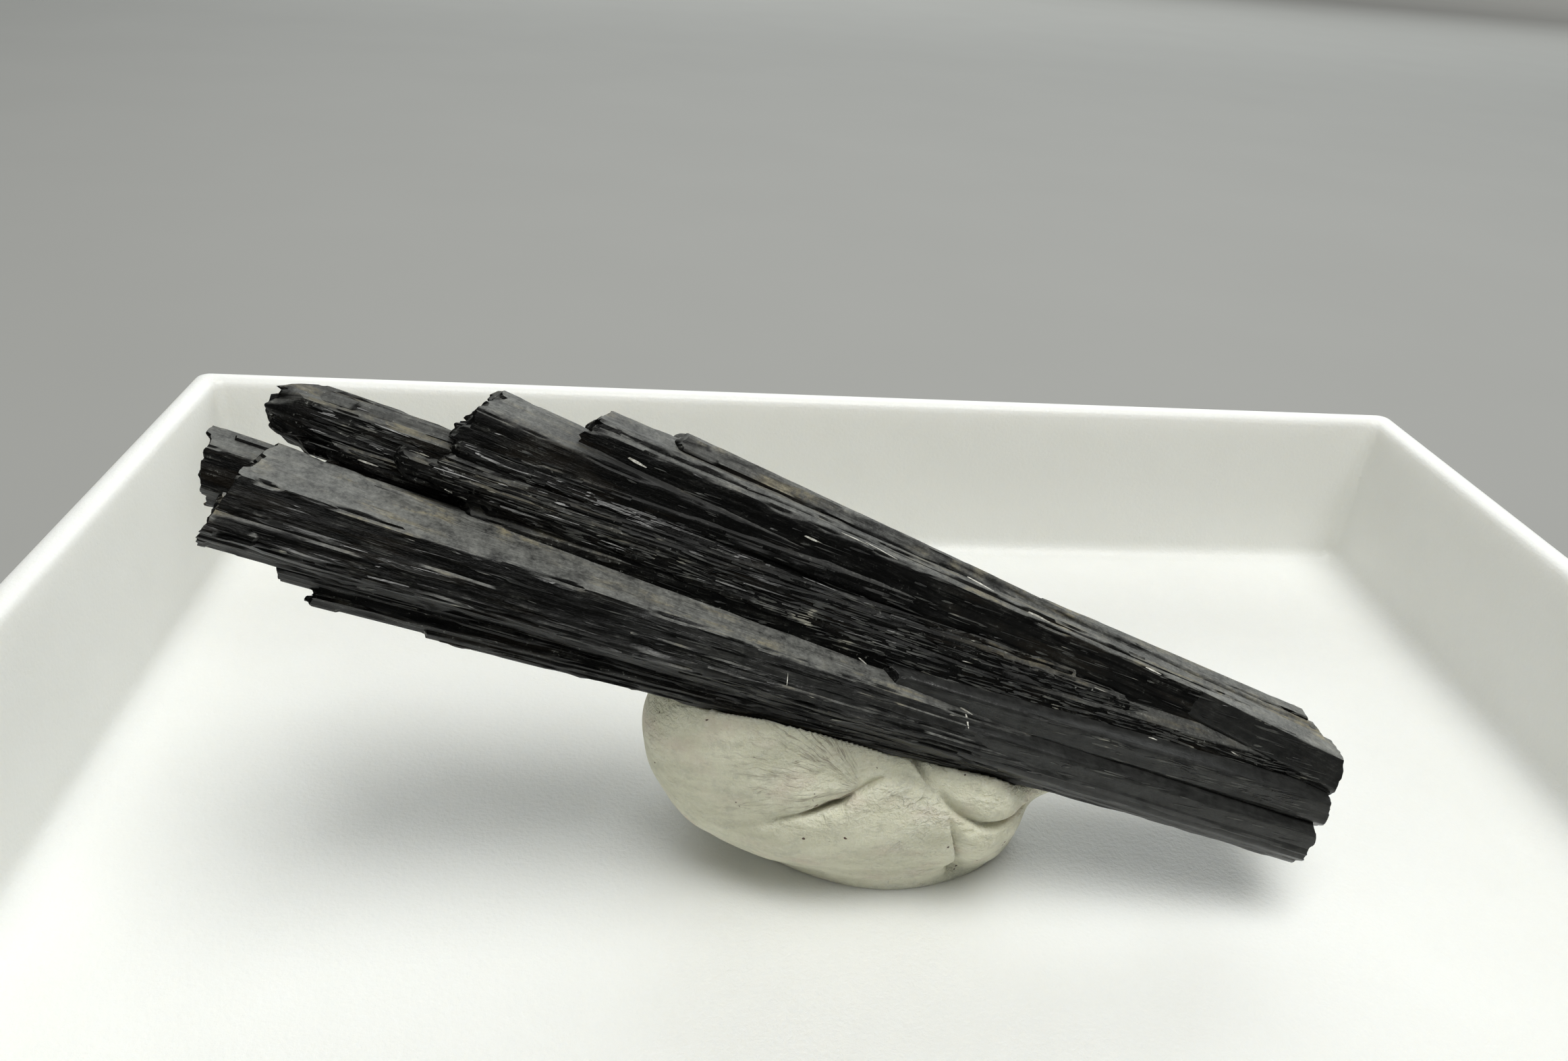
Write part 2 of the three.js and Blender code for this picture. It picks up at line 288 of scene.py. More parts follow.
# Each crystal: the tip and the root as x, y, z and the distance to a corner; the turn of its
# first corner from z to y; how broad it is across its bright side; how coarse its sides are, how
# worn (1) or polished (-1) they look, and how ragged its ends are; how its tip slants with y and
# z; and how far its tip is rounded off.
CRYSTALS = [
    # the front group: the broad crystal, the block behind its tip, and the ledges under it
    ((-37.1, -0.09, 0.66, 1.5), (-9.5, -1.3, -0.3, 0.9), 27, 1.42, 1.2, 0.1, 0.25, (0.34, 0.1), 0.03),
    ((-37.8, 0.45, 0.2, 1.15), (-14, -0.6, -0.9, 1.0), 27, 1.0, 0.8, 0.5, 0.3, (-0.14, 0.1), 0.05),
    ((-36.95, -0.8, 0.7, 0.85), (-12, -1.65, 0.1, 0.8), 15, 1.0, 1.0, 0.2, 0.2, (-0.2, 0.0), 0.3),
    ((-35.3, -1.45, 0.1, 0.8), (-10, -1.75, -0.2, 0.8), 30, 1.0, 1.0, 0.7, 0.6, (-0.3, 0.0), 0.0),
    ((-34.1, -1.95, -0.1, 0.75), (-9, -1.85, -0.3, 0.7), -35, 1.0, 1.1, 0.8, 0.8, (0.1, 0.0), 0.0),
    ((-30.9, -2.25, -0.2, 0.6), (-6, -1.9, -0.3, 0.65), 20, 1.0, 0.8, 0.4, 0.4, (-0.4, 0.0), 0.2),
    # two smooth ones at the root
    ((-13.9, -1.4, 0.05, 1.0), (-0.5, -1.85, 0.3, 0.95), -45, 1.0, 0.35, -1, 0.5, (0.1, 0.0), 0.0),
    ((-17, -0.3, 0.0, 0.7), (-0.2, -0.65, 0.55, 0.75), -45, 1.0, 0.35, -1, 0.5, (0.0, 0.6), 0.3),
    # thin ones in the valley between the groups
    ((-32.8, 2.1, 0.4, 0.5), (-10, 1.15, -0.2, 0.6), 0, 1.0, 1.4, 1, 0.5, (-0.3, 0.2), 0.4),
    ((-30.2, 1.8, 0.15, 0.5), (-14, 0.45, 0.1, 0.5), 20, 1.0, 1.5, 1, 0.6, (0.0, 0.8), 0.5),
    ((-27.6, 1.9, -0.2, 0.55), (-8, 0.7, 0, 0.6), 30, 1.0, 1.5, 1, 0.6, (0.0, 0.8), 0.5),
    # the upper group: left, middle and right
    ((-37.0, 2.62, -1.4, 1.08), (-8, 1.4, -1.2, 1.0), 27, 1.0, 1.4, 0.7, 0.8, (-0.1, 0.0), 0.8),
    ((-36.1, 3.05, -1.2, 0.6), (-22, 2.6, -1.3, 0.6), 10, 1.0, 1.4, 0.8, 1.0, (0.3, 0.0), 0.6),
    ((-36.2, 2.1, -1.2, 0.7), (-20, 2.1, -1.3, 0.6), 0, 1.0, 1.4, 1, 0.8, (-0.5, 0.0), 0.7),
    ((-35.1, 1.8, -0.75, 0.5), (-16, 1.35, -0.6, 0.5), 20, 1.0, 1.4, 1, 1.0, (-0.6, 0.6), 0.3),
    ((-31.9, 3.38, -1.0, 1.75), (-6, 0.9, -1.5, 1.1), 27, 1.0, 1.1, 0.3, 0.45, (0.38, 0.0), 0.12),
    ((-31.1, 3.0, -0.4, 0.9), (-16, 2.2, -0.6, 0.8), 10, 1.0, 1.2, 0.6, 0.6, (0.2, 0.4), 0.3),
    ((-28.9, 3.97, -1.5, 1.7), (-0.2, 0.95, -0.7, 1.2), 24, 1.0, 1.0, 0.3, 0.35, (0.6, 0.0), 0.08),
    ((-27.9, 3.3, -0.7, 0.8), (-12, 1.7, -0.9, 0.7), 5, 1.0, 1.3, 0.8, 0.8, (0.3, 0.3), 0.3),
    # the strip and the wide facet along the top of the root
    ((-12, 2.9, -1.9, 0.9), (-0.6, 1.95, -1.0, 0.6), 30, 1.0, 0.8, 0.3, 0.5, (0.5, 0.0), 0.3),
    ((-9.5, 2.25, -1.1, 1.0), (-0.1, 0.6, 0.25, 1.1), 27, 1.0, 0.12, -0.3, 0.2, (-0.6, 0.0), 0.5),
    # the back of the fan, and the crystal in its middle
    ((-35.5, -0.4, -1.9, 1.2), (-0.9, -0.9, -1.2, 1.1), 10, 1.0, 1.0, 0.4, 0.6, (0.0, 0.0), 0.2),
    ((-33.5, 1.2, -2.5, 1.35), (-0.3, 0.6, -1.6, 1.1), 25, 1.0, 1.0, 0.4, 0.6, (0.0, 0.0), 0.2),
    ((-28, 2.8, -2.8, 1.15), (-0.9, 1.3, -1.5, 0.9), 0, 1.0, 1.0, 0.4, 0.6, (0.0, 0.0), 0.2),
    ((-31, 0.8, -0.9, 1.3), (-0.3, 0.1, -0.5, 1.3), 12, 1.0, 1.0, 0.8, 0.6, (0.0, 0.0), 0.3),
]
BLADES_EACH = 4
CRYSTAL_SEEDS_APART = 10
BLADE_PLACE_SEED = 100
BLADE_SIDE_SEED = 900
# The steps of a crystal's mesh, and how long the stretch of small steps at each end is.
STEP_ROUND = 0.075
BLADE_STEP_ROUND = 0.12
STEP_ALONG = 0.32
STEP_AT_ENDS = 0.10
STEP_ACROSS_END = 0.1
ENDS = 1.4
WORN_CORNER = 0.14  # the share of a half side that is rounded off at a corner
SHARP_EDGE = math.radians(28)
GRAIN_APART = 40  # between the grains of two crystals, so that no two look alike
# The valley between the groups is painted shade: the pale marks are kept out of it, so it stays
# black.
VALLEY_DROP = 2.4  # how far under the fan's root the dark valley would pass
VALLEY_SLOPE = 0.21  # how far the valley rises for each millimetre towards the tips
SCHORL_IOR = 1.63
SCHORL_BLACK = (0.0012, 0.0013, 0.0012, 1)
SCHORL_BROWN_BLACK = (0.006, 0.0046, 0.003, 1)
SATIN_BLACK = (0.006, 0.0062, 0.0058, 1)
SATIN_GREY = (0.02, 0.0205, 0.0195, 1)
# Dust grey and brown, which also paint the sheen that the light above gives the upward faces.
DUST_AND_SHEEN_GREY = (0.2, 0.203, 0.188, 1)
DUST_AND_SHEEN_BROWN = (0.27, 0.24, 0.155, 1)
FIBRE_GREY = (0.085, 0.086, 0.078, 1)
# White for loose crumbs, and for painted glints.
CRUMB_AND_GLINT_WHITE = (0.34, 0.345, 0.32, 1)


def chance(seed):
    """A number from 0 to 1, or an array of them, always the same for the same seed."""
    v = np.sin(seed * 12.9898 + 4.1414) * 43758.5453
    return v - np.floor(v)


def waves(x, y, seed, period=None):
    """Smooth noise from -1 to 1, one bump to a unit. It repeats along y after a whole period."""
    i, j = np.floor(x), np.floor(y)
    s, t = x - i, y - j
    s, t = s * s * (3 - 2 * s), t * t * (3 - 2 * t)

    def at(di, dj):
        row = (j + dj) % period if period else j + dj
        return chance((i + di) + 6.0226 * row + 0.37 * seed)

    low = at(0, 0) * (1 - s) + at(1, 0) * s
    high = at(0, 1) * (1 - s) + at(1, 1) * s
    return 2 * (low * (1 - t) + high * t) - 1


def cells(x, y, seed, period=None):
    """A level from 0 to 1 for each unit cell. Each row of cells is shifted along x."""
    j = np.floor(y) % period if period else np.floor(y)
    i = np.floor(x + 7 * chance(j * 3.1 + seed))
    return chance(i + 6.0226 * j + 0.53 * seed)


def broken_end(y, z, radius, ragged, slant, dome, seed):
    """How far a crystal's end lies back at places across it: small steps, a dome and a slant."""
    steps = 0.25 + 0.25 * waves(y / 0.3, z / 0.3, seed) + 0.6 * cells(y / 0.45, z / 0.5, seed + 5)
    rounding = dome * 1.6 * np.minimum(np.hypot(y, z) / radius, 1.1) ** 3
    grit = 0.03 * waves(y / 0.12, z / 0.12, seed + 9)
    return radius * (0.8 * ragged * steps + rounding) + slant[0] * y + slant[1] * z + grit


def side_relief(along, around, girth, angle, coarse, seed):
    """How far a crystal's side stands out or lies back at places along and around it."""

    def strips(length, size, k):
        rows = max(round(girth / size), 6)
        wander = 0.3 * waves(along / 2.2, around * 6, seed + k + 20, 6)
        return cells(along / length, around * rows + wander, seed + k, rows) - 0.5

    rows = max(round(girth / 0.3), 6)
    pits = np.clip(waves(along / 0.9, around * rows, seed + 5, rows) - 0.45, 0, 1)
    swell = waves(along / 9, around * 6, seed + 1, 6)
    front = 0.5 + 0.5 * np.cos(angle - SHEEN_SIDE + math.pi)
    rough = coarse * max(0.22, coarse - 0.9) + 0.78 * coarse * front
    plates = 0.10 * strips(9, 0.5, 2) + 0.07 * strips(4, 0.24, 3) + 0.04 * strips(1.8, 0.12, 4)
    return 0.03 * swell * min(coarse, 1) + rough * (plates - 0.16 * pits)


def six_sided(turn, breadth, count):
    """Places round a six-sided outline: y, z, the angle, and how near each place is to a corner."""
    around = np.arange(count) / count
    side = np.floor(around * 6)
    share = around * 6 - side
    from_, to = (np.radians(turn + 60 * (side + k)) for k in (0, 1))
    unit_y = np.sin(from_) * (1 - share) + np.sin(to) * share
    unit_z = np.cos(from_) * (1 - share) + np.cos(to) * share
    across = unit_y * math.cos(SHEEN_SIDE) - unit_z * math.sin(SHEEN_SIDE)
    unit_y += (breadth - 1) * across * math.cos(SHEEN_SIDE)
    unit_z -= (breadth - 1) * across * math.sin(SHEEN_SIDE)
    return unit_y, unit_z, np.arctan2(unit_y, unit_z), 1 - np.minimum(share, 1 - share) * 2


def skin_faces(vertices, reach, worn, count, girth):
    """The faces of a skin of rows of count vertices, with a last vertex for each end, and the
    grain of each face's corners: the place along and around, and how worn it is there."""
    rows = len(reach)
    grid = np.meshgrid(np.arange(rows - 1), np.arange(count), indexing="ij")
    i, j = (index.ravel() for index in grid)
    i, j = np.stack([i, i + 1, i + 1, i], -1), np.stack([j, j, j + 1, j + 1], -1)
    quads = i * count + j % count
    quad_grain = np.stack([reach[i], j / count * girth, worn[i]], -1)
    here = np.arange(count)
    after = (here + 1) % count
    front = np.stack([np.full(count, rows * count), here, after], -1)
    last = (rows - 1) * count
    back = np.stack([np.full(count, rows * count + 1), last + after, last + here], -1)
    ends = np.concatenate([front, back])
    end_grain = np.zeros((len(ends), 3, 3))
    end_grain[:, :, 0] = vertices[ends][:, :, 0]
    end_grain[:, :, 2] = 1
    grain = np.concatenate([quad_grain.reshape(-1, 3), end_grain.reshape(-1, 3)])
    return quads.tolist() + ends.tolist(), grain


def crystal(tip, root, turn, breadth, coarse, wear, ragged, slant, dome, seed, step=STEP_ROUND):
    """Vertices, faces and corners' grain, of one fluted, broken prism."""
    tip, root = np.array(tip, float), np.array(root, float)
    length = root[0] - tip[0]
    girth = 6 * max(tip[3], root[3]) * (1 + breadth) / 2
    count = 6 * max(round(girth / step / 6), 2)
    ends = min(ENDS, length / 3)
    near = np.arange(0, ends, STEP_AT_ENDS)
    middle = np.linspace(ends, length - ends, max(round((length - 2 * ends) / STEP_ALONG), 2))
    along = np.concatenate([near, middle, length - near[::-1]])
    unit_y, unit_z, angle, corner = six_sided(turn, breadth, count)

    t = (along / length)[:, None]
    radius = tip[3] * (1 - t) + root[3] * t
    grain_along, grain_around = np.meshgrid(along, np.arange(count) / count, indexing="ij")
    relief = side_relief(grain_along, grain_around, girth, angle[None, :], coarse, seed)
    nibble = np.clip(waves(grain_along / 0.7, grain_around * 6, seed + 6, 6) + 0.1, 0, 1)
    edge = np.clip(corner - (1 - WORN_CORNER), 0, 1)[None, :]
    relief -= (0.02 + 0.09 * coarse * nibble) * edge / WORN_CORNER
    size = 1 + relief / radius
    y, z = unit_y[None, :] * radius * size, unit_z[None, :] * radius * size
    inner = np.linspace(1, 0, max(round(tip[3] / STEP_ACROSS_END), 3) + 1)[1:, None]
    tip_end, root_end = (ragged, slant, dome, seed), (ragged * 0.6, (0, 0), 0.08, seed + 50)
    tip_back = broken_end(y[0], z[0], tip[3], *tip_end)
    root_back = broken_end(y[-1], z[-1], root[3], *root_end)
    tip_cap = broken_end(y[0] * inner, z[0] * inner, tip[3], *tip_end)
    root_cap = broken_end(y[-1] * inner, z[-1] * inner, root[3], *root_end)
    foremost = min(tip_back.min(), tip_cap.min())
    rearmost = min(root_back.min(), root_cap.min())
    first, last = tip[0] + tip_back - foremost, root[0] - root_back + rearmost
    x = first + (last - first) * t

    def ring(x, row, share_along, size):
        middle_y, middle_z = tip[1:3] * (1 - share_along) + root[1:3] * share_along
        return np.stack([x, middle_y + y[row] * size, middle_z + z[row] * size], -1)

    caps = range(len(inner))
    rings = [ring(tip[0] + tip_cap[k] - foremost, 0, 0, inner[k]) for k in reversed(caps)]
    rings += [ring(x[row], row, t[row], 1) for row in range(len(along))]
    rings += [ring(root[0] - root_cap[k] + rearmost, -1, 1, inner[k]) for k in caps]
    skin = np.array(rings)
    vertices = np.vstack([skin[1:-1].reshape(-1, 3), skin[0].mean(0), skin[-1].mean(0)])
    inwards = STEP_ACROSS_END * np.arange(1, len(inner))
    reach = np.concatenate([-inwards[::-1], along, length + inwards])
    cap_wear = np.ones(len(inner) - 1)
    worn = np.concatenate([cap_wear, np.full(len(along), wear), cap_wear])
    faces, grain = skin_faces(vertices - [tip[0], 0, 0], reach, worn, count, girth)
    return vertices, faces, grain


def blades(tip, root, turn, index):
    """The thin blades along a crystal's sides, each as a tip, a root and a turn."""
    for k in range(BLADES_EACH):
        seed = BLADE_PLACE_SEED + index * 17 + k * 5
        angle = math.radians(turn + 360 * chance(seed))
        thin = 0.22 + 0.2 * chance(seed + 1)
        reach = tip[3] * (1.6 * chance(seed + 2) + 0.1)
        ends = []
        for end, x in ((tip, tip[0] + 1.8 * reach), (root, root[0] - 0.2)):
            out = end[3] * (0.98 - thin)
            y, z = end[1] + math.sin(angle) * out, end[2] + math.cos(angle) * out
            ends.append((x, y, z, end[3] * thin))
        yield *ends, 40 * k


def crystal_object(name, parts, number):
    """One closed prism, put where it goes, with its grain kept on its corners."""
    vertices, faces, grain = parts
    placed = vertices @ np.array(FAN_TURN).T + np.array(FAN_ROOT)
    mesh = bpy.data.meshes.new(name)
    mesh.from_pydata((placed * MM).tolist(), [], faces)
    mesh.polygons.foreach_set("use_smooth", [True] * len(mesh.polygons))
    grain = grain.copy()
    grain[:, 1] += GRAIN_APART * number
    attribute = mesh.attributes.new("grain", "FLOAT_VECTOR", "CORNER")
    attribute.data.foreach_set("vector", grain.ravel())
    return bpy.data.objects.new(name, mesh)


def grown_together(name, objects, material):
    """The union of closed objects as one mesh object."""
    first, others = objects[0], bpy.data.collections.new(name)
    for other in objects[1:]:
        others.objects.link(other)
    bpy.context.scene.collection.objects.link(first)
    union = first.modifiers.new("union", "BOOLEAN")
    union.operation = "UNION"
    union.operand_type = "COLLECTION"
    union.collection = others
    union.solver = "MANIFOLD"
    graph = bpy.context.evaluated_depsgraph_get()
    mesh = bpy.data.meshes.new_from_object(first.evaluated_get(graph), depsgraph=graph)
    for used in objects:
        bpy.data.objects.remove(used)
    bpy.data.collections.remove(others)
    mesh.name = name
    mesh.materials.clear()
    mesh.materials.append(material)
    mesh.set_sharp_from_angle(angle=SHARP_EDGE)
    piece = bpy.data.objects.new(name, mesh)
    bpy.context.scene.collection.objects.link(piece)
    return piece


def schorl_material():
    """Black, glossy where smooth, grey with loose fibres where not. Dust and painted sheen lighten
    its tops.
    """
    material, wire = new_material("black_schorl")
    grain = wire.node("Attribute", {"attribute_name": "grain"}, output=1)
    along = wire.node("SeparateXYZ", {}, {0: grain}, output=0)
    wear = wire.node("SeparateXYZ", {}, {0: grain}, output=2)
    worn, polish, bare = wear.between(0, 1), wear.between(0, -0.5), wear.between(-0.5, -1)
    place = place_on_piece(wire)
    up = wire.node("SeparateXYZ", {}, {0: wire.node("TexCoord", output=1)}, output=2)
    from_root = place + tuple(-FAN_ROOT)
    down_fan, up_fan = from_root.dot(-FAN_TURN.col[0]), from_root.dot(FAN_TURN.col[1])
    strips = grain.scaled(0.2, 2.2, 0).noise(3.0, 0.65)
    # Painted shade: the valley between the two groups loses its pale marks and stays black.
    from_valley = up_fan + VALLEY_DROP - VALLEY_SLOPE * down_fan + 0.8 * (strips - 0.5)
    valley = 1 - wire.math("ABSOLUTE", from_valley).between(0.8, 1.5)
    valley = valley * down_fan.between(8, 13) * down_fan.between(30, 26.5) * 0.9
    scales = grain.scaled(0.8, 4.5, 0).noise(4.0, 0.7)
    streaks = grain.scaled(0.45, 14, 0).noise(5.0, 0.72)
    grit = place.scaled(8, 8, 8).noise(3.0, 0.7)
    mottle = place.scaled(1.7, 1.7, 1.7).noise(4.0, 0.75)
    patches = place.scaled(0.35, 0.35, 0.35).noise(3.0, 0.6)
    patchy = patches.between(0.42, 0.6)
    # Dust settles on the upward faces, and their pale colour is also painted sheen from the light
    # above.
    upward_dust_and_sheen = (up + 0.35 * (scales - 0.5)).between(0.72, 0.94) * (1 - bare)
    dust_and_sheen = 0.5 + 1.1 * (grit - 0.5) + 1.6 * (mottle - 0.5) + 0.9 * (patches - 0.5)
    dust_and_sheen = upward_dust_and_sheen * (1 - 0.6 * worn) * (1 - valley) * (dust_and_sheen + 0.15 * polish)
    dust_and_sheen = dust_and_sheen * (0.3 + 0.7 * streaks.between(0.32, 0.44))
    fibres = scales.between(0.44, 0.62) * streaks.between(0.44, 0.6)
    fibres = fibres * (0.4 + 0.6 * grit.between(0.35, 0.6))
    fibres = fibres * (0.3 + 0.9 * mottle.between(0.44, 0.58))
    fibres = fibres * (0.15 + 0.45 * patchy + 0.6 * worn * strips.between(0.42, 0.6))
    fibres = fibres * (1 - 0.55 * polish) * (1 - valley)
    # Painted highlights: glints are bright specks put into the colour.
    glints = streaks.between(0.68, 0.76) * grit.between(0.54, 0.64) * (1 - polish)
    crumbs = worn * (1 - 0.6 * valley) * grit.between(0.6, 0.7) * scales.between(0.48, 0.58)
    brown = strips.between(0.46, 0.6) * patchy
    calm = strips.between(0.56, 0.62) + along.between(9, 15) * strips.between(0.4, 0.52)
    smooth = wire.math("MAXIMUM", polish, calm.between(0, 1) * wear.between(0.35, 0.15) * 0.8)
    black = smooth.mix(
        brown.mix(SCHORL_BLACK, SCHORL_BROWN_BLACK),
        mottle.between(0.3, 0.7).mix(SATIN_BLACK, SATIN_GREY),
    )
    pale = (brown * mottle.between(0.4, 0.55)).mix(DUST_AND_SHEEN_GREY, DUST_AND_SHEEN_BROWN)
    colour = fibres.mix(black, FIBRE_GREY)
    colour = dust_and_sheen.mix(colour, pale)
    colour = (glints + crumbs * 0.6).mix(colour, CRUMB_AND_GLINT_WHITE)
    rugged = 1 - 0.75 * smooth
    height = rugged * (strips * 0.03 + scales * 0.04 + streaks * 0.016)
    height = height + grit * (0.006 + 0.03 * worn) + mottle * 0.02
    rough = 0.22 + 0.2 * scales + 0.22 * upward_dust_and_sheen + 0.2 * worn
    sockets = {
        "Base Color": colour,
        "Roughness": rough,
        "IOR": SCHORL_IOR,
        "Specular IOR Level": 0.35,
    }
    below = up.between(0.25, -0.3)
    finish_material(wire, height, sockets, (1 - smooth) * (1 - upward_dust_and_sheen) * (1 - 0.8 * below) * 0.85)
    return material


crystal_objects = []
for number, (tip, root, turn, breadth, coarse, wear, *ends) in enumerate(CRYSTALS):
    parts = crystal(tip, root, turn, breadth, coarse, wear, *ends, CRYSTAL_SEEDS_APART * number)
    crystal_objects.append(crystal_object(f"crystal_{number}", parts, number))
    for k, (blade_tip, blade_root, blade_turn) in enumerate(blades(tip, root, turn, number)):
        seed = BLADE_SIDE_SEED + 40 * number + k
        blade_ends = (0.7, (0, 0), 0.4, seed, BLADE_STEP_ROUND)
        parts = crystal(blade_tip, blade_root, blade_turn, 1, coarse, wear, *blade_ends)
        crystal_objects.append(crystal_object(f"blade_{number}_{k}", parts, number + 0.5 + 0.1 * k))
schorl = grown_together("schorl_fan", crystal_objects, schorl_material())
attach(schorl, "root")
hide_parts("schorl_crystals")
fan_tree = BVHTree.FromObject(schorl, bpy.context.evaluated_depsgraph_get())

# ---- Schorl splinters -------------------------------------------------------------------------
# Loose slivers of tourmaline, a few hundredths of a millimetre thick, that split off the crystals
# and still cling to their sides, thickest in the valley between the two groups of crystals. A few
# are bleached flakes and fibres of lint, and some of these pale slivers are painted glints.
SPLINTERS_TRIED = 1500
SPLINTER_SEED = 3000
FLAKE_THICK = 0.02
LOOK_FROM = 6.0
LOOK_AS_FAR_AS = 10 * MM
SPLINTER_DARK = (0.004, 0.0042, 0.004, 1)
SPLINTER_GREY = (0.05, 0.051, 0.046, 1)
SPLINTER_BLEACHED = (0.3, 0.29, 0.24, 1)
FLAKE_AND_GLINT_TAN = (0.3, 0.29, 0.25, 1)
FLAKE_AND_GLINT_WHITE = (0.75, 0.74, 0.68, 1)
# Each pale flake, lint fibre or painted glint: its two ends as x and y on the fan's front, and half
# its width. The few whose ends miss the fan, or lie on two crystals far apart in depth, are left out.
FLAKES_AND_GLINTS = [
    ((-33.8, 1.79), (-33.2, 1.75), 0.028),
    ((-31.1, 1.62), (-30.45, 1.5), 0.033),
    ((-26.2, 4.12), (-25.6, 3.98), 0.044),
    ((-29.15, 1.35), (-29.2, 1.55), 0.011),
    ((-20.2, 3.34), (-19.6, 3.25), 0.033),
    ((-19.05, 3.77), (-18.1, 3.63), 0.019),
    ((-18.2, 3.7), (-17.06, 3.45), 0.017),
    ((-14.4, 3.6), (-13.5, 3.36), 0.028),
    ((-21.8, -0.08), (-21.7, 0.24), 0.017),
    ((-19.8, -1.3), (-19.85, -0.95), 0.011),
    ((-17.5, 0.08), (-17.2, -0.06), 0.022),
    ((-13.9, -0.59), (-13.5, -0.71), 0.028),
    ((-13.72, -0.75), (-13.6, -1.15), 0.033),
    ((-7.7, 2.33), (-7.1, 2.23), 0.028),
    ((-12.2, 3.02), (-11.4, 2.88), 0.039),
    ((-4.15, 0.37), (-3.85, 0.29), 0.022),
    ((-7.2, 0.09), (-6.9, 0.07), 0.022),
    ((-9.4, 1.2), (-8.45, 1.05), 0.022),
]


def fan_surface(x, y):
    """The place and the direction out of the fan's front at x and y in its own frame, if any."""
    turn, root = np.array(FAN_TURN), np.array(FAN_ROOT)
    start = Vector(turn @ np.array([x, y, LOOK_FROM]) + root) * MM
    inwards = Vector(turn @ np.array([0, 0, -1.0]))
    spot, out, *_ = fan_tree.ray_cast(start, inwards, LOOK_AS_FAR_AS)
    if spot is None:
        return None, None
    return turn.T @ (np.array(spot) / MM - root), turn.T @ np.array(out)


def splinter(ends, wide, thick, skew):
    """Twelve corners of a four-sided rod that narrows to its ends, or None where it can't lie."""
    (first, out), (last, _) = (fan_surface(*end) for end in ends)
    if first is None or last is None:
        return None
    if abs(first[2] - last[2]) > 0.15 + 0.4 * abs(first[0] - last[0]):
        return None
    along = (last - first) / np.linalg.norm(last - first)
    flat = np.cross(out, along)
    flat /= np.linalg.norm(flat)
    corners = []
    for share, narrow in ((0.0, 0.6), (0.45, 1.0), (1.0, 0.35)):
        for side, lift in ((-1, -1), (1, -1), (1, 1), (-1, 1)):
            place = first + (last - first) * share + along * skew * side
            place = place + flat * side * wide * narrow
            place = place + np.cross(along, flat) * lift * thick * narrow
            corners.append(np.array(FAN_TURN) @ place + np.array(FAN_ROOT))
    return corners


def rods(places):
    """Vertices and faces of splinters, from the corners of each."""
    vertices, faces = [], []
    for corners in places:
        first = len(vertices)
        vertices.extend(corners)
        for ring in (0, 4):
            for k in range(4):
                after = (k + 1) % 4
                faces.append([first + ring + i for i in (k, after, 4 + after, 4 + k)])
        faces.append([first + i for i in (3, 2, 1, 0)])
        faces.append([first + i for i in (8, 9, 10, 11)])
    return vertices, faces


def clinging_splinters():
    """The corners of each dark splinter, strewn over the fan's front but not its bright sides."""
    bright = np.array([0, math.sin(SHEEN_SIDE), math.cos(SHEEN_SIDE)])
    for number in range(SPLINTERS_TRIED):
        seed = SPLINTER_SEED + 11 * number
        x = -35.5 + 34 * chance(seed)
        top = min(4.6, 5.2 - 0.14 * (x + 27))
        valley = 0.3 + 0.09 * (-8 - x)
        spread = chance(seed + 1)
        y = valley + 1.6 * (spread - 0.5) if number % 3 else -2.0 + (top + 2.0) * spread
        spot, out = fan_surface(x, y)
        if spot is None or out.dot(bright) > 0.8:
            continue
        length = 0.25 + 1.2 * chance(seed + 4) ** 2
        lean = -(y + 1) / 57 + 0.6 * (chance(seed + 2) - 0.5) ** 3
        wide, thick = 0.012 + 0.03 * chance(seed + 5) ** 2, 0.015 + 0.02 * chance(seed + 6)
        ends = ((x, y), (x + length, y + lean * length))
        corners = splinter(ends, wide, thick, 0.1 * (chance(seed + 7) - 0.5))
        if corners:
            yield corners


def splinter_material():
    material, wire = new_material("schorl_splinters")
    place = place_on_piece(wire)
    tone = place.scaled(0.9, 1.6, 1.6).noise(2.0)
    fine = place.scaled(3, 18, 18).noise(2.0)
    colour = tone.between(0.42, 0.66).mix(SPLINTER_DARK, SPLINTER_GREY)
    colour = (tone.between(0.66, 0.72) * 0.8).mix(colour, SPLINTER_BLEACHED)
    sockets = {"Base Color": colour, "Roughness": 0.25 + 0.3 * fine, "IOR": SCHORL_IOR}
    finish_material(wire, fine * 0.008, sockets)
    return material


# Pale flakes and lint, some of them painted glints on the crystals.
def flake_and_glint_material():
    material, wire = new_material("pale_flakes_and_glints")
    place = place_on_piece(wire)
    tone = place.scaled(6, 6, 6).noise(3.0)
    colour = tone.between(0.3, 0.7).mix(FLAKE_AND_GLINT_TAN, FLAKE_AND_GLINT_WHITE)
    finish_material(wire, tone * 0.02, {"Base Color": colour, "Roughness": 0.4 + 0.3 * tone})
    return material


splinters = new_piece("schorl_splinters", *rods(clinging_splinters()), splinter_material())
flakes_and_glints = [splinter((first, last), wide, FLAKE_THICK, 0.02) for first, last, wide in FLAKES_AND_GLINTS]
flakes_and_glints = [corners for corners in flakes_and_glints if corners]
pale_flakes_and_glints = new_piece("pale_flakes_and_glints", *rods(flakes_and_glints), flake_and_glint_material())
for strewn in (splinters, pale_flakes_and_glints):
    strewn.data.polygons.foreach_set("use_smooth", [False] * len(strewn.data.polygons))
    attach(strewn, "root")

# ---- Mineral tack -----------------------------------------------------------------------------
# A kneaded lump of off-white mineral tack. The fan was pressed into it, which squeezed a roll
# out to the right and left a deep crease under it, with fine wrinkles running from the crease.
TACK_MIDDLE = np.array([-0.6, 7.6, 2.8])
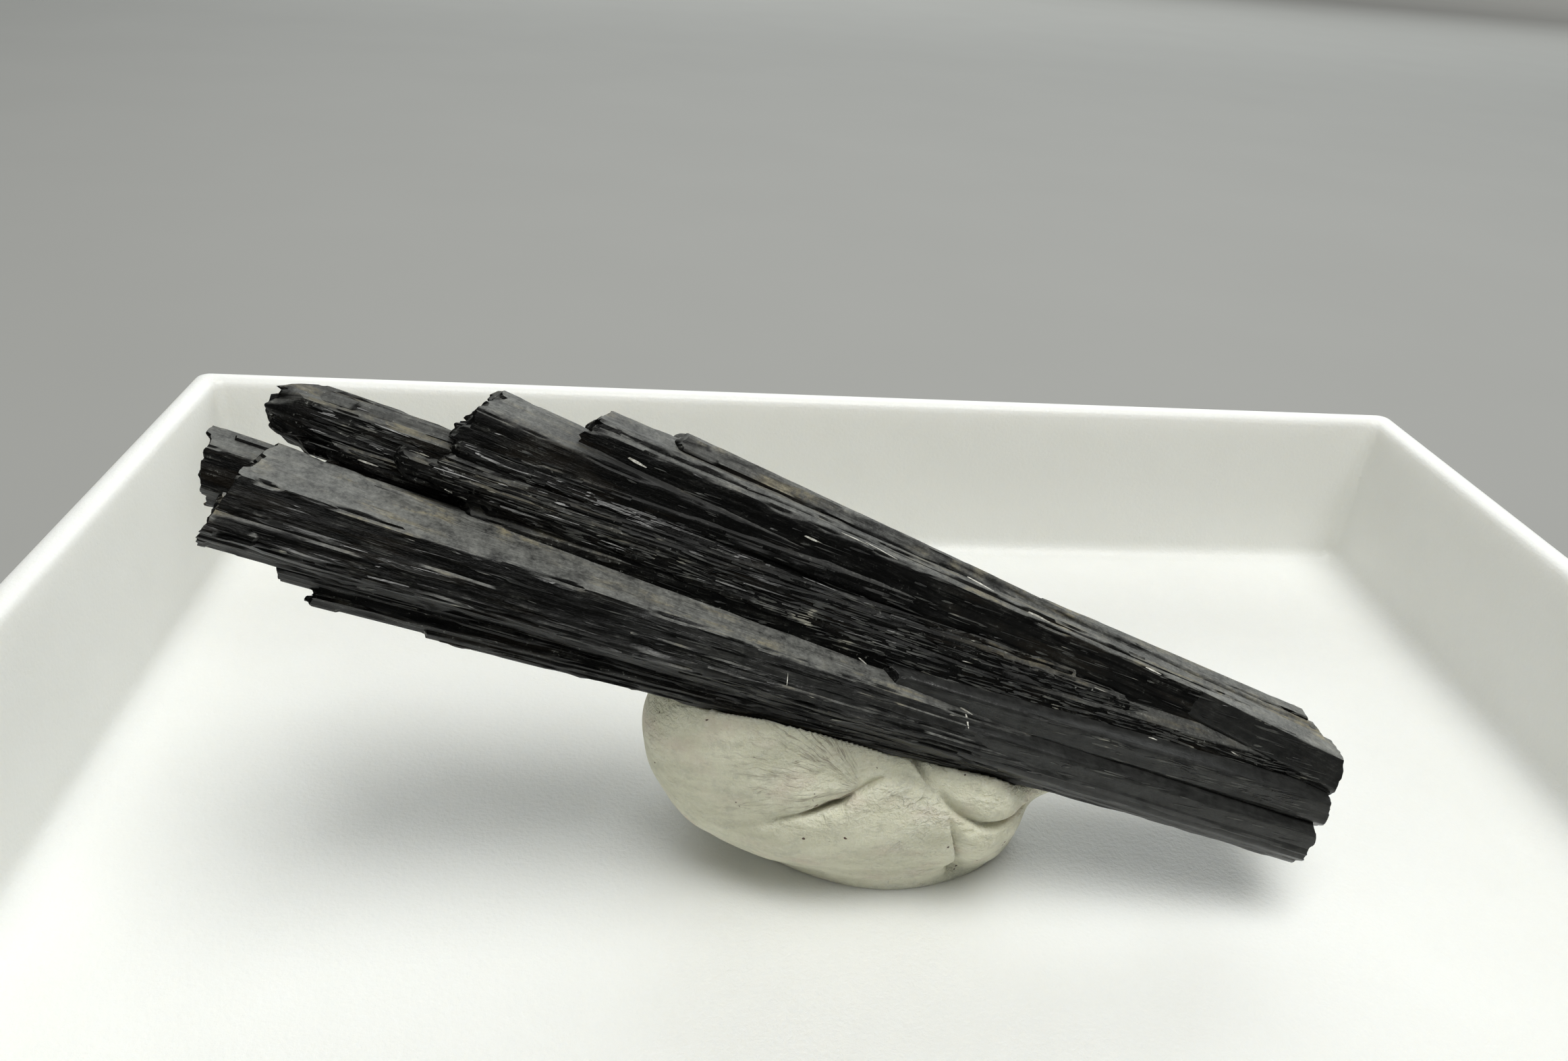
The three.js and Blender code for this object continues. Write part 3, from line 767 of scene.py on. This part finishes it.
# Each lobe: its centre above the tray's floor, its three radii, and its turn.
TACK_LOBES = [
    ((-2.3, 7.8, 6.0), (6.2, 3.1, 4.4), 19),
    ((0.6, 7.6, 1.2), (3.8, 3.0, 3.3), 0),
    ((2.7, 7.8, 3.5), (2.6, 4.2, 3.0), 0),
    ((2.9, 6.6, 4.1), (3.4, 1.9, 1.0), 0),
    ((-1.3, 7.5, 3.6), (6.1, 3.9, 3.7), 0),
    ((-2.6, 8.5, 0.9), (4.3, 2.4, 2.3), -36),
    ((3.3, 7.0, 1.1), (2.5, 1.7, 1.5), 35),
]
TACK_BLEND = 0.12
TACK_GRID = 110
TACK_FRONT = 7.0  # the creases start in front of this y
TACK_FRONT_FADE = 1.5
TACK_GAP = 0.04  # between the lump and the fan that lies in it
FRONT_PULL = np.array([0.05, -0.45, 0.1])  # draws more of the mesh to the front
LONGEST_RAY = 12.0
HALVINGS = 26
FAN_WITHIN = 14 * MM
WRINKLE_CENTRE = (-1.1, 5.1 + TRAY_FLOOR)
TACK_CREAM = (0.60, 0.59, 0.455, 1)
TACK_PALE_CREAM = (0.74, 0.73, 0.585, 1)
TACK_PINK_STAIN = (0.60, 0.49, 0.42, 1)
TACK_GREY = (0.44, 0.44, 0.36, 1)
TACK_WHITE_GRIT = (0.86, 0.85, 0.75, 1)
TACK_CRINKLE_WHITE = (0.88, 0.87, 0.78, 1)
TACK_WRINKLE_SHADE_BROWN = (0.24, 0.19, 0.14, 1)
TACK_SPLIT_SHADE_BROWN = (0.1, 0.055, 0.035, 1)
TACK_SPECK_BROWN = (0.09, 0.05, 0.035, 1)
# Each crease on the front: its depth, its width, and its path as x and height above the floor.
TACK_CREASES = [
    (0.14, 0.25, [(-6.0, 3.1), (-5.1, 3.45), (-4.4, 3.75), (-3.2, 4.15)]),
    (0.26, 0.14, [(-4.4, 3.75), (-3.4, 4.15), (-2.6, 4.45)]),
    (0.55, 0.10, [(-3.6, 4.05), (-2.9, 4.33), (-2.3, 4.65), (-1.95, 4.75), (-1.2, 5.25)]),
    (0.28, 0.12, [(-1.9, 4.85), (-0.9, 5.4), (-0.2, 5.6)]),
    (0.18, 0.2, [(-1.2, 5.2), (-0.4, 5.58), (0.3, 5.55), (1.1, 5.15), (2.4, 4.5)]),
    (0.45, 0.15, [(1.1, 5.2), (2.3, 4.4), (3.2, 3.85), (4.2, 3.55), (5.6, 3.8)]),
    (
        0.38,
        0.12,
        [(1.7, 4.5), (2.25, 3.3), (2.5, 2.6), (2.65, 2.0), (2.8, 1.2), (2.95, 0.2), (3.0, -0.6)],
    ),
    (0.45, 0.3, [(2.6, 1.9), (2.9, 0.6), (3.1, -0.4), (3.2, -1.0)]),
    (0.28, 0.12, [(0.3, 6.5), (0.85, 5.7), (1.35, 4.9)]),
]


def outside_tack(points):
    """How far points lie outside the lump, as a share of a lobe's size: 0 on its surface."""
    total = 0
    for centre, radii, turn in TACK_LOBES:
        offset = points - np.array(centre)
        c, s = math.cos(math.radians(turn)), math.sin(math.radians(turn))
        along = offset[..., 0] * c + offset[..., 1] * s
        across = offset[..., 1] * c - offset[..., 0] * s
        scaled = np.stack([along / radii[0], across / radii[1], offset[..., 2] / radii[2]], -1)
        total = total + np.exp(-(np.linalg.norm(scaled, axis=-1) - 1) / TACK_BLEND)
    return -TACK_BLEND * np.log(total)


def tack_material():
    """Cream putty: a fan of fine wrinkles, stains, specks of dirt, and painted shade in wrinkles and
    split.
    """
    material, wire = new_material("mineral_tack")
    place = place_on_piece(wire)
    x, y, z = (wire.node("SeparateXYZ", {}, {0: place}, output=axis) for axis in range(3))
    across, above = x - WRINKLE_CENTRE[0], z - WRINKLE_CENTRE[1]
    turn = wire.math("ARCTAN2", above, 0 - across)
    away = (across ** 2 + above ** 2) ** 0.5
    bend = place.scaled(0.7, 0.7, 0.7).noise(2.0)
    sweep = turn * 9 + bend * 2.2
    wrinkles = wire.node("CombineXYZ", {}, {0: sweep, 1: away * 0.3, 2: y * 0.2}).noise(3.0, 0.65)
    fan = turn.between(-0.5, -0.15) * (1 - turn.between(0.9, 1.5)) * (1 - away.between(3.0, 6.5))
    fan = fan * bend.between(0.3, 0.5)
    knead = place.scaled(0.45, 0.9, 1.3).noise(4.0, 0.6)
    bent = place + 0.5 * place.scaled(1.3, 1.3, 1.3).noise(2.0)
    folds = bent.scaled(2.2, 2.0, 3.0).noise(3.0, 0.6)
    crinkles = 1 - wire.math("ABSOLUTE", folds - 0.5).between(0.0, 0.12)
    tongue = x.between(-1.2, 0.2) * (1 - x.between(2.4, 3.2)) * (1 - z.between(5.4, 6.6))
    crinkled = place.scaled(0.9, 0.9, 0.9).noise(2.0).between(0.42, 0.6)
    crinkles = crinkles * (0.25 + 0.75 * tongue) * crinkled
    grit = place.scaled(6, 6, 6).noise(4.0, 0.7)
    specks = place.scaled(3.4, 3.4, 3.4).noise(1.0).between(0.77, 0.8)
    stains = place.scaled(0.5, 0.5, 0.7).noise(3.0).between(0.5, 0.75)
    # Painted shade: the wrinkle lines are darkened brown along their grooves.
    lines = 1 - wire.math("ABSOLUTE", wrinkles - 0.5).between(0.004, 0.02)
    lines = lines * fan * (1 - 0.5 * away.between(1.5, 5.0))
    mottle = place.scaled(1.4, 1.8, 1.8).noise(4.0, 0.75)
    colour = knead.between(0.3, 0.7).mix(TACK_CREAM, TACK_PALE_CREAM)
    colour = (stains * 0.5).mix(colour, TACK_PINK_STAIN)
    colour = (mottle.between(0.48, 0.68) * 0.4).mix(colour, TACK_GREY)
    colour = (grit.between(0.5, 0.7) * 0.25).mix(colour, TACK_WHITE_GRIT)
    colour = (crinkles * 0.3).mix(colour, TACK_CRINKLE_WHITE)
    colour = (lines * 0.6).mix(colour, TACK_WRINKLE_SHADE_BROWN)
    # Painted shade: the deep crease's split under the fan is darkened brown.
    beside = above - 0.5 * across + 0.1 * (mottle - 0.5)
    split = ((across + 1.2) ** 2) * 1.2 + (beside ** 2) * 130 + y.between(5.5, 7) * 9
    colour = ((1 - split.between(0.4, 1.3)) * 0.8).mix(colour, TACK_SPLIT_SHADE_BROWN)
    colour = specks.mix(colour, TACK_SPECK_BROWN)
    height = knead * 0.25 + mottle * 0.22 + grit * 0.09 + crinkles * 0.06 + folds * 0.12
    height = height + fan * (wrinkles * 0.13 - lines * 0.06)
    finish_material(
        wire,
        height,
        {
            "Base Color": colour,
            "Roughness": 0.55 + 0.3 * grit,
            "Subsurface Weight": 0.3,
            "Subsurface Radius": (0.7, 0.6, 0.4),
            "Subsurface Scale": MM,
        },
    )
    return material


def cube_ball(steps):
    """Even directions all round, as the vertices of a gridded cube, and the cube's faces."""
    i, j = np.meshgrid(np.arange(steps), np.arange(steps), indexing="ij")
    corners = []
    for axis in range(3):
        for end in (0, steps):
            quad = [(i, j), (i + 1, j), (i + 1, j + 1), (i, j + 1)]
            for u, v in quad if end else quad[::-1]:
                place = np.empty((steps, steps, 3), int)
                place[..., axis] = end
                place[..., (axis + 1) % 3] = u
                place[..., (axis + 2) % 3] = v
                corners.append(place.reshape(-1, 3))
    corners = np.array(corners).reshape(6, 4, -1, 3)
    places = corners.transpose(0, 2, 1, 3).reshape(-1, 3)
    points, faces = np.unique(places, axis=0, return_inverse=True)
    directions = np.tan((points / steps - 0.5) * math.pi / 2)
    directions /= np.linalg.norm(directions, axis=1)[:, None]
    return directions, faces.reshape(-1, 4)


def crease(x, height, width, path):
    """How deep a crease is at places beside its path, from 0 to 1. It fades out at its ends."""
    nearest, depth = np.full(x.shape, 99.0), np.zeros(x.shape)
    for number, ((x0, z0), (x1, z1)) in enumerate(zip(path, path[1:])):
        span = np.array([x1 - x0, z1 - z0])
        share = ((x - x0) * span[0] + (height - z0) * span[1]) / span.dot(span)
        share = np.clip(share, 0, 1)
        away = np.hypot(x - x0 - share * span[0], height - z0 - share * span[1])
        along = (number + share) / (len(path) - 1)
        depth = np.where(away < nearest, 1 - np.abs(2 * along - 1) ** 3, depth)
        nearest = np.minimum(nearest, away)
    return depth * (np.exp(-(nearest / width) ** 2) + 0.5 * np.exp(-(nearest / width / 4) ** 2))


def tack_mesh():
    """The lump's vertices and faces: rays from its middle that end on its surface."""
    rays, faces = cube_ball(TACK_GRID)
    rays = rays + FRONT_PULL
    rays /= np.linalg.norm(rays, axis=1)[:, None]
    down = np.minimum(rays[:, 2], -1e-6)
    floor = np.where(rays[:, 2] < -1e-6, -TACK_MIDDLE[2] / down, LONGEST_RAY)
    farthest = np.minimum(LONGEST_RAY, floor)
    low, high = np.zeros(len(rays)), farthest
    on_floor = outside_tack(TACK_MIDDLE + rays * high[:, None]) < 0
    for _ in range(HALVINGS):
        half = (low + high) / 2
        out = outside_tack(TACK_MIDDLE + rays * half[:, None]) > 0
        high = np.where(out, half, high)
        low = np.where(out, low, half)
    reach = np.where(on_floor, farthest, low)
    points = TACK_MIDDLE + rays * reach[:, None]
    x, y, height = points.T
    front = np.clip((TACK_FRONT - y) / TACK_FRONT_FADE, 0, 1) * np.clip(height / 0.2, 0, 1)
    dent = 0
    for depth, width, path in TACK_CREASES:
        dent = np.maximum(dent, depth * crease(x, height, width, path))
    folds = waves(x / 0.8, height / 2.2, 3) * 0.05 + waves(x / 0.35, height / 1.1, 4) * 0.02
    lumps = waves(x / 1.7 + y / 2.1, height / 1.3, 5) * 0.07
    reach = reach - front * dent + (folds + lumps) * np.clip(height / 0.8, 0, 1)
    start = Vector((*TACK_MIDDLE[:2], TACK_MIDDLE[2] + TRAY_FLOOR)) * MM
    for number, ray in enumerate(rays):
        if ray[2] > 0:
            distance = fan_tree.ray_cast(start, Vector(ray), FAN_WITHIN)[3]
            if distance is not None:
                reach[number] = min(reach[number], distance / MM - TACK_GAP)
    points = TACK_MIDDLE + rays * reach[:, None]
    points[:, 2] = np.maximum(points[:, 2], 0) + TRAY_FLOOR
    return points, faces.tolist()


tack = new_piece("kneaded_tack", *tack_mesh(), tack_material())
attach(tack, "root")
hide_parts("mineral_tack")

# ---- Floor and light --------------------------------------------------------------------------
# A plain pale table under a soft ceiling lamp, with a long window behind the tray and a weak lamp
# at the left. Four lamps that face away from the tray light the rest of the table.
TABLE_SIZE = 3.0
TABLE_GREY = (0.26, 0.26, 0.25, 1)
TABLE_PALER_GREY = (0.28, 0.28, 0.27, 1)
TABLE_LAMPS_OUT = 0.6
TABLE_LAMPS_UP = 0.6
TABLE_LAMPS_AIM = 1.6
TABLE_LAMP_SIZE = (1.6, 0.5)
TABLE_LAMP_POWER = 7
WARM_WHITE = (1, 1, 0.97)
ROOM_LIGHT = (0.9, 0.92, 0.9, 1)
ROOM_STRENGTH = 0.13


def table_material():
    material, wire = new_material("pale_table")
    speckle = wire.node("TexCoord", output=3).scaled(40, 40, 40).noise(3.0)
    colour = speckle.mix(TABLE_GREY, TABLE_PALER_GREY)
    finish_material(wire, speckle * 0.05, {"Base Color": colour, "Roughness": 0.8})
    return material


half = TABLE_SIZE / 2 / MM
corners = [(-half, -half, 0), (half, -half, 0), (half, half, 0), (-half, half, 0)]
table = new_piece("pale_table", corners, [(0, 1, 2, 3)], table_material())
table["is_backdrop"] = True


def soft_light(name, place, target, size, power, colour=WARM_WHITE):
    """A rectangular lamp at a place, turned to its target."""
    light = bpy.data.lights.new(name, "AREA")
    light.shape = "RECTANGLE"
    light.size, light.size_y = size
    light.energy = power
    light.color = colour
    lamp = bpy.data.objects.new(name, light)
    lamp.location = place
    lamp.rotation_euler = (Vector(target) - Vector(place)).to_track_quat("-Z", "Y").to_euler()
    bpy.context.scene.collection.objects.link(lamp)


soft_light("ceiling_lamp", (0.04, -0.05, 0.36), (0, 0.01, 0), (0.23, 0.23), 1.4)
soft_light("window", (0.12, 0.45, 0.24), (0, 0, 0), (0.8, 0.28), 1.8, (0.96, 1, 0.99))
soft_light("left_lamp", (-0.32, -0.12, 0.22), (0.01, 0.01, 0), (0.3, 0.3), 0.15, (1, 1, 0.96))
for side, turn in enumerate(np.radians([0, 90, 180, 270])):
    out_x, out_y = math.sin(turn), math.cos(turn)
    place = (TABLE_LAMPS_OUT * out_x, TABLE_LAMPS_OUT * out_y, TABLE_LAMPS_UP)
    target = (TABLE_LAMPS_AIM * out_x, TABLE_LAMPS_AIM * out_y, 0)
    soft_light(f"table_lamp_{side}", place, target, TABLE_LAMP_SIZE, TABLE_LAMP_POWER)
world = bpy.data.worlds.new("room")
bpy.context.scene.world = world
world.use_nodes = True
background = world.node_tree.nodes["Background"].inputs
background["Color"].default_value = ROOM_LIGHT
background["Strength"].default_value = ROOM_STRENGTH
bpy.context.scene.view_settings.view_transform = "Standard"

# ---- Sizes ------------------------------------------------------------------------------------
boxes = {"cad": cad_box, "visual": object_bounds()}
{name: [list(corner) for corner in box] for name, box in boxes.items()}
